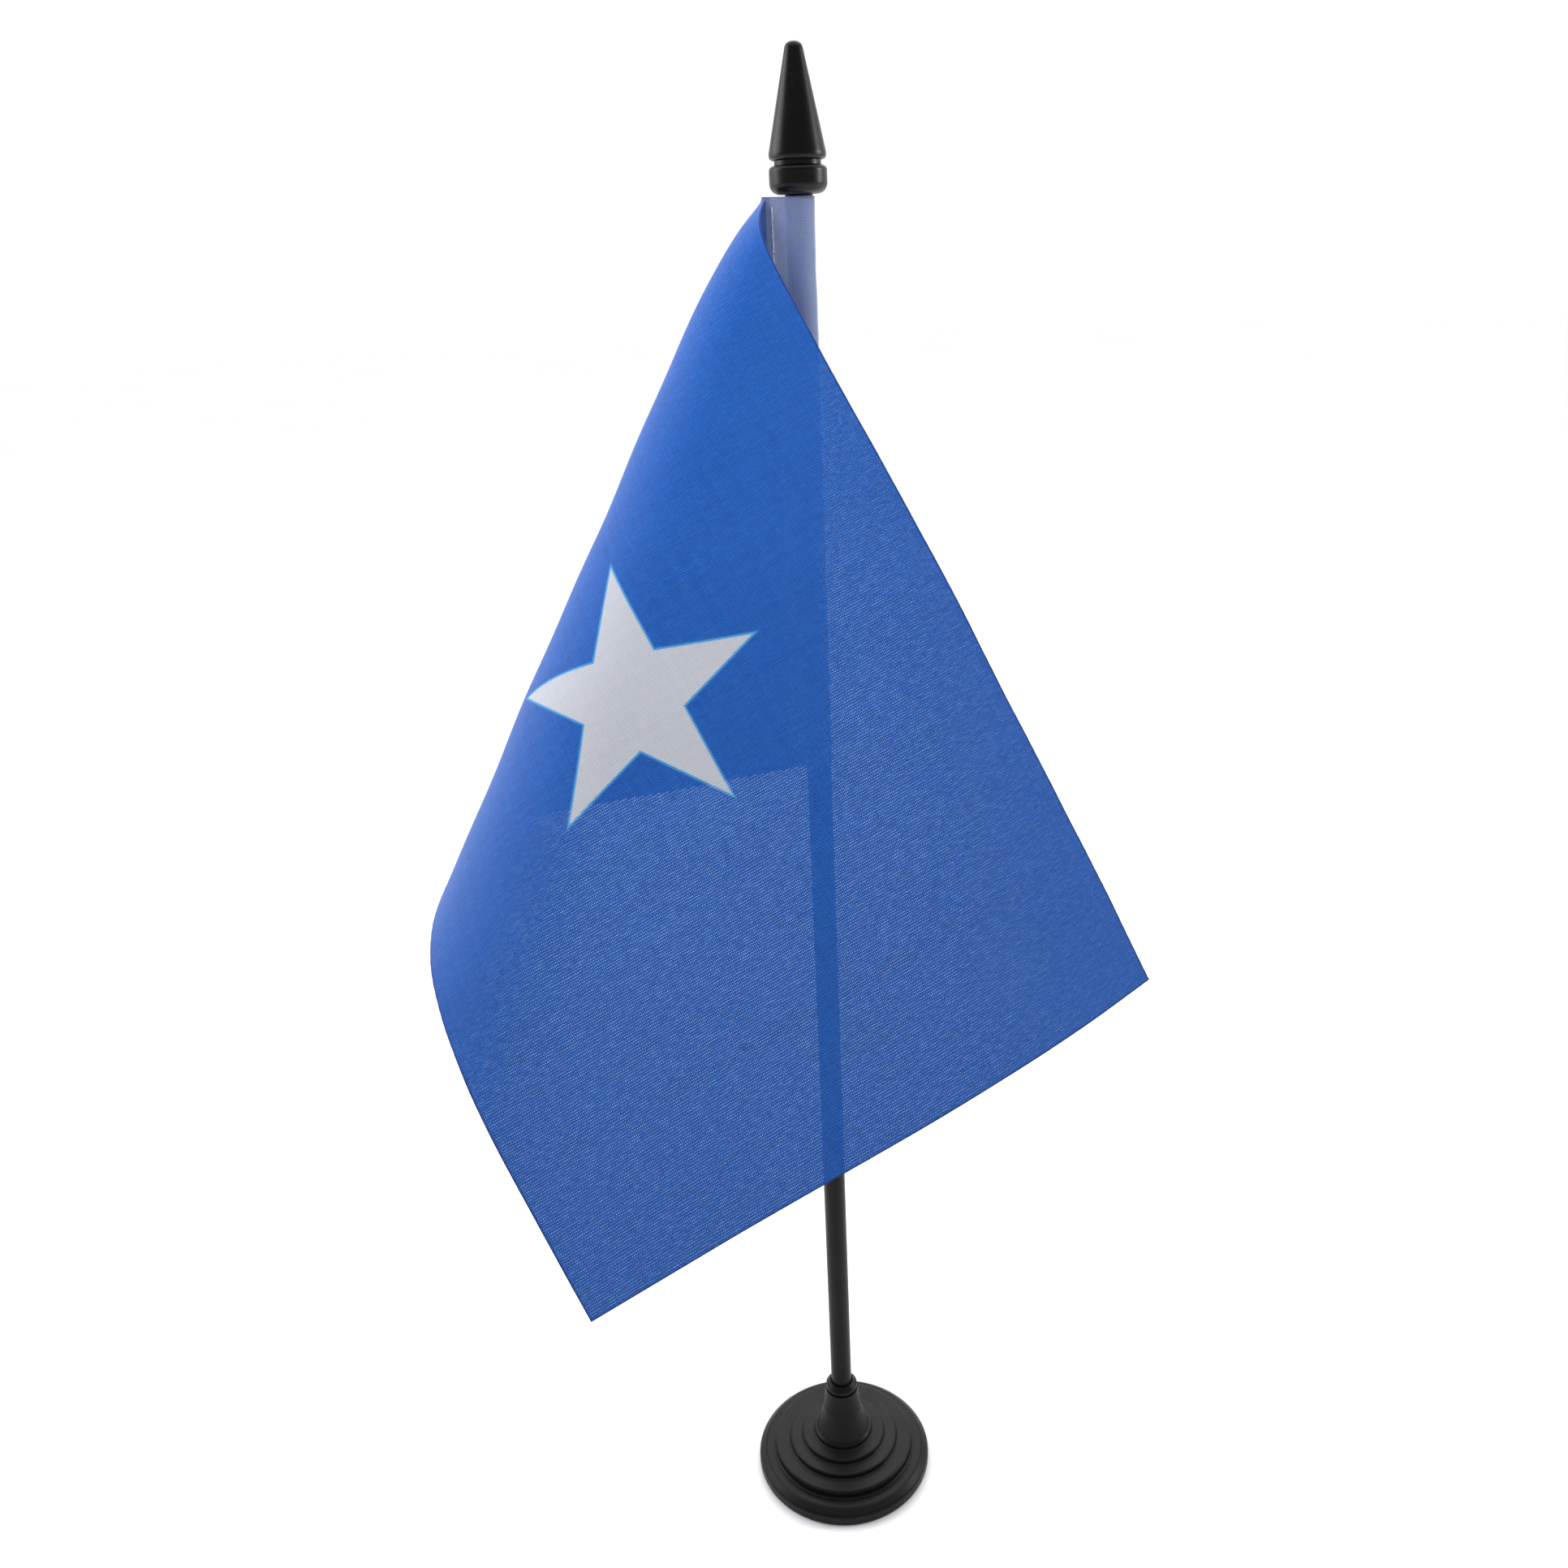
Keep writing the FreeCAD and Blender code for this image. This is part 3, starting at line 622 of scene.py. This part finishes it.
def flag_material():
    """Thin plain weave printed blue with a white star: threads, darker between them as painted
    shade, pores that let light through, uneven yarn, and edges cut hot."""
    nodes = Nodes("flag_cloth_print")
    across, up = nodes.flat_place(FLY + TUCK, HOIST)
    height, gap, shade = plain_weave(nodes, across, up, WARP_PITCH, WEFT_PITCH)
    streak = nodes.noise(nodes.scaled(across, up, STREAK_ACROSS, STREAK_UP), 1.0, 3.0, 0.6)
    cloud = nodes.noise(nodes.vector(across, up), 38.0, 3.0)
    # painted shade: the print's colour goes darker where the threads sink, between them
    shaded_weave = nodes.colour(height, BLUE_SHADED_HOLLOW, BLUE_CROWN)
    blue = nodes.colour(nodes.math("MULTIPLY", shade, YARN_SHARE), shaded_weave, BLUE_YARN)
    blue = nodes.colour(nodes.math("MULTIPLY", cloud, PATCH_SHARE), blue, BLUE_PATCH)
    slub = nodes.ramp(streak, 0.42, 0.68)
    blue = nodes.colour(nodes.math("MULTIPLY", slub, SLUB_SHARE), blue, BLUE_SLUB)
    inside = star_distance(nodes, across, up)
    inside = nodes.math("MULTIPLY_ADD", nodes.math("SUBTRACT", height, 0.5), PRINT_STRAY, inside)
    halo = nodes.ramp(inside, -HALO_OUT, -HALO_IN)
    blue = nodes.colour(nodes.math("MULTIPLY", halo, HALO_SHARE), blue, BLUE_HALO)
    # painted shade between the threads of the white print
    white = nodes.colour(height, WHITE_SHADED_HOLLOW, WHITE_CROWN)
    white = nodes.colour(nodes.math("MULTIPLY", shade, WHITE_YARN_SHARE), white, WHITE_YARN)
    star = nodes.ramp(inside, -STAR_SOFT, STAR_SOFT)
    colour = nodes.colour(star, blue, white)
    from_top = nodes.math("SUBTRACT", HOIST, up)
    from_fly = nodes.math("SUBTRACT", FLY + TUCK, across)
    edge = nodes.math("MINIMUM", from_fly, nodes.math("MINIMUM", up, from_top))
    cut = nodes.ramp(edge, CUT_OUTER, CUT_INNER, 1.0, 0.0)
    colour = nodes.colour(nodes.math("MULTIPLY", cut, CUT_SHARE), colour, BLUE_CUT)
    nodes.set(nodes.shader.inputs["Base Color"], colour)
    slack = nodes.ramp(streak, 0.36, 0.66, 0.42, 0.58)
    narrow, wide = nodes.math("MULTIPLY", slack, 0.5), nodes.math("MULTIPLY", slack, 1.2)
    pore = nodes.ramp(gap, narrow, wide, PORE, 0.0)
    closed = nodes.math("MAXIMUM", cut, nodes.math("MULTIPLY", star, STAR_CLOSED))
    pore = nodes.math("MULTIPLY", pore, nodes.math("SUBTRACT", 1.0, closed))
    nodes.set(nodes.shader.inputs["Alpha"], nodes.math("SUBTRACT", 1.0, pore))
    nodes.set(nodes.shader.inputs["Roughness"], nodes.math("MULTIPLY_ADD", height, -0.18, 0.78))
    nodes.constants({
        "Sheen Weight": 0.22,
        "Sheen Roughness": 0.42,
        "Sheen Tint": SHEEN_BLUE,
        "Specular IOR Level": 0.35,
    })
    nodes.bump(height, 0.06 * MM, 0.8)
    return nodes.material


def sleeve_material(girth):
    """Thin white weave, unprinted, that the rod shows through; its white is painted as a dark
    blue-grey, as painted shade with painted blue light from the flag, darker between the threads.
    """
    nodes = Nodes("sleeve_cloth_white_painted_shade")
    across, up = nodes.flat_place(girth, HOIST)
    height, gap, shade = plain_weave(nodes, across, up, SLEEVE_WARP, SLEEVE_WEFT)
    # painted shade and painted blue light on white cloth, darker still between the threads
    colour = nodes.colour(height, SLEEVE_SHADED_HOLLOW, SLEEVE_SHADED_CROWN)
    colour = nodes.colour(nodes.math("MULTIPLY", shade, SLEEVE_YARN_SHARE), colour, SLEEVE_SHADED_YARN)
    nodes.set(nodes.shader.inputs["Base Color"], colour)
    nodes.set(nodes.shader.inputs["Alpha"], nodes.ramp(gap, 0.15, 0.75, 0.30, 0.58))
    nodes.set(nodes.shader.inputs["Roughness"], nodes.math("MULTIPLY_ADD", height, -0.15, 0.7))
    nodes.constants({"Sheen Weight": 0.8, "Sheen Roughness": 0.3})
    nodes.bump(height, 0.04 * MM, 0.6)
    return nodes.material


def thread_material():
    """White spun thread, two plies laid together, with painted shade in the grooves between the
    plies.
    """
    nodes = Nodes("thread_white")
    place = nodes.node("ShaderNodeSeparateXYZ")
    nodes.set(place.inputs[0], nodes.body_place())
    sideways = nodes.math("MULTIPLY", place.outputs[0], THREAD_LAY[0])
    lay = nodes.math("MULTIPLY_ADD", place.outputs[2], THREAD_LAY[1], sideways)
    ply = nodes.math("ABSOLUTE", nodes.math("SINE", lay))
    # painted shade in the grooves between the plies
    colour = nodes.colour(ply, THREAD_SHADED_HOLLOW, THREAD_CROWN)
    nodes.set(nodes.shader.inputs["Base Color"], colour)
    nodes.constants({"Roughness": 0.55, "Sheen Weight": 0.3})
    nodes.bump(ply, 0.05 * MM, 0.7)
    return nodes.material


def moulded_material(name, colour, worn, rough, gloss, grain):
    """Moulded plastic: a fine grain, an uneven satin and a few lighter rubs."""
    nodes = Nodes(name)
    place = nodes.body_place()
    fine = nodes.noise(place, GRAIN_SCALE)
    cloud = nodes.noise(place, CLOUD_SCALE, 4.0)
    rub = nodes.ramp(nodes.noise(place, RUB_SCALE, 5.0, 0.65), 0.60, 0.78)
    rubbed = nodes.colour(nodes.math("MULTIPLY", rub, 0.45), colour, worn)
    nodes.set(nodes.shader.inputs["Base Color"], rubbed)
    uneven = nodes.math("MULTIPLY_ADD", cloud, 0.16, rough - 0.08)
    nodes.set(nodes.shader.inputs["Roughness"], nodes.math("MULTIPLY_ADD", rub, 0.06, uneven))
    nodes.constants({"Specular IOR Level": gloss})
    nodes.bump(nodes.math("ADD", fine, nodes.math("MULTIPLY", cloud, 2.0)), grain, 0.5)
    return nodes.material


def rod_material():
    """Drawn plastic rod: fine lines along its length."""
    nodes = Nodes("rod_plastic_black")
    place = nodes.node("ShaderNodeMapping")
    nodes.set(place.inputs["Vector"], nodes.body_place())
    place.inputs["Scale"].default_value = (1.0, 1.0, DRAWN_STRETCH)
    lines = nodes.noise(place.outputs[0], DRAWN_SCALE, 3.0)
    cloud = nodes.noise(nodes.body_place(), ROD_CLOUD_SCALE, 3.0)
    drawn = nodes.colour(lines, (0.003, 0.003, 0.003, 1), (0.009, 0.009, 0.0087, 1))
    nodes.set(nodes.shader.inputs["Base Color"], drawn)
    nodes.constants({"Specular IOR Level": 0.13})
    nodes.set(nodes.shader.inputs["Roughness"], nodes.math("MULTIPLY_ADD", cloud, 0.2, 0.28))
    nodes.bump(lines, 0.02 * MM, 0.5)
    return nodes.material


def paint_cad_parts():
    """The rigid CAD parts stay as they are, with finished materials."""
    finishes = {
        "base": moulded_material(
            "base_plastic_black",
            colour=(0.0040, 0.0040, 0.0037, 1),
            worn=(0.013, 0.013, 0.0125, 1),
            rough=0.42,
            gloss=0.17,
            grain=0.03 * MM,
        ),
        "rod": rod_material(),
        "finial": moulded_material(
            "finial_plastic_black",
            colour=(0.0015, 0.0015, 0.0014, 1),
            worn=(0.006, 0.006, 0.0058, 1),
            rough=0.33,
            gloss=0.3,
            grain=0.004 * MM,
        ),
    }
    for name, material in finishes.items():
        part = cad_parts[name]
        for slot in part.material_slots:
            slot.material = material


# ---------------------------------------------------------------- the studio

def make_floor():
    """A wide pale floor."""
    spin = np.arange(FLOOR_SIDES) * 2 * math.pi / FLOOR_SIDES
    rim = np.stack([FLOOR_RADIUS * np.cos(spin), FLOOR_RADIUS * np.sin(spin), 0 * spin], axis=-1)
    mesh = bpy.data.meshes.new("floor")
    mesh.from_pydata(rim.tolist(), [], [list(range(FLOOR_SIDES))])
    floor = bpy.data.objects.new("floor", mesh)
    bpy.context.scene.collection.objects.link(floor)
    nodes = Nodes("floor_pale")
    tone = nodes.noise(nodes.body_place(), 3.0)
    pale = nodes.colour(tone, (0.93, 0.93, 0.93, 1), (0.95, 0.95, 0.95, 1))
    nodes.set(nodes.shader.inputs["Base Color"], pale)
    nodes.constants({"Roughness": 0.9, "Specular IOR Level": 0.1})
    floor.data.materials.append(nodes.material)


def make_world():
    """A white room whose light is stronger from behind the flag than from the camera's side."""
    world = bpy.data.worlds.new("studio")
    bpy.context.scene.world = world
    world.use_nodes = True
    tree = world.node_tree
    background = tree.nodes["Background"]
    place = tree.nodes.new("ShaderNodeTexCoord")
    split = tree.nodes.new("ShaderNodeSeparateXYZ")
    tree.links.new(place.outputs["Generated"], split.inputs[0])
    ramp = tree.nodes.new("ShaderNodeMapRange")
    ramp.interpolation_type = "SMOOTHSTEP"
    for socket, value in zip(ramp.inputs[1:5], (*ROOM_TURN, ROOM_FRONT, ROOM_BACK)):
        socket.default_value = value
    tree.links.new(split.outputs[1], ramp.inputs[0])
    seen = tree.nodes.new("ShaderNodeLightPath")
    strength = tree.nodes.new("ShaderNodeMix")
    tree.links.new(seen.outputs["Is Camera Ray"], strength.inputs[0])
    tree.links.new(ramp.outputs[0], strength.inputs[2])
    strength.inputs[3].default_value = ROOM_SEEN
    tree.links.new(strength.outputs[0], background.inputs["Strength"])
    background.inputs["Color"].default_value = (1, 1, 1, 1)


def make_light(name, place, target, size, power, mirrored=True):
    """A soft round lamp that the camera can't see; mirrored says that glossy faces show it."""
    lamp = bpy.data.lights.new(name, "AREA")
    lamp.shape = "DISK"
    lamp.size = size
    lamp.energy = power
    light = bpy.data.objects.new(name, lamp)
    bpy.context.scene.collection.objects.link(light)
    light.location = place
    light.rotation_euler = (Vector(target) - Vector(place)).to_track_quat("-Z", "Y").to_euler()
    light.visible_camera = False
    light.visible_glossy = mirrored


def make_lights():
    """One broad light from overhead, soft lamps from the left, the right and behind, and a weak
    one near the fold's top."""
    overhead = bpy.data.lights.new("overhead", "SUN")
    overhead.energy = SUN_POWER
    overhead.angle = SUN_ANGLE
    light = bpy.data.objects.new("overhead", overhead)
    bpy.context.scene.collection.objects.link(light)
    middle = (0, 0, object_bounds()[1][2] / 2)
    for name, place, size, power in LAMPS:
        make_light(name, place, middle, size, power)
    make_light("near_top", NEAR_LAMP, NEAR_TARGET, NEAR_SIZE, NEAR_POWER, mirrored=False)


def make_camera():
    """Close to the flag, a little above it, looking down at the base."""
    camera = bpy.data.cameras.new("camera")
    camera.sensor_width = CAMERA_SENSOR
    camera.lens = CAMERA_LENS
    camera.shift_x, camera.shift_y = CAMERA_SHIFT
    camera.clip_start = 10 * MM
    holder = bpy.data.objects.new("camera", camera)
    bpy.context.scene.collection.objects.link(holder)
    heading = Matrix.Rotation(CAMERA_HEADING, 4, "Z")
    tilt = Matrix.Rotation(math.pi / 2 - CAMERA_DOWN, 4, "X")
    roll = Matrix.Rotation(CAMERA_ROLL, 4, "Z")
    holder.matrix_world = Matrix.Translation(CAMERA_PLACE) @ heading @ tilt @ roll
    bpy.context.scene.camera = holder


bpy.context.scene.view_settings.view_transform = "Standard"
make_camera()
make_world()
make_lights()
make_floor()
paint_cad_parts()
make_sleeve()
make_flag()
make_stitching()
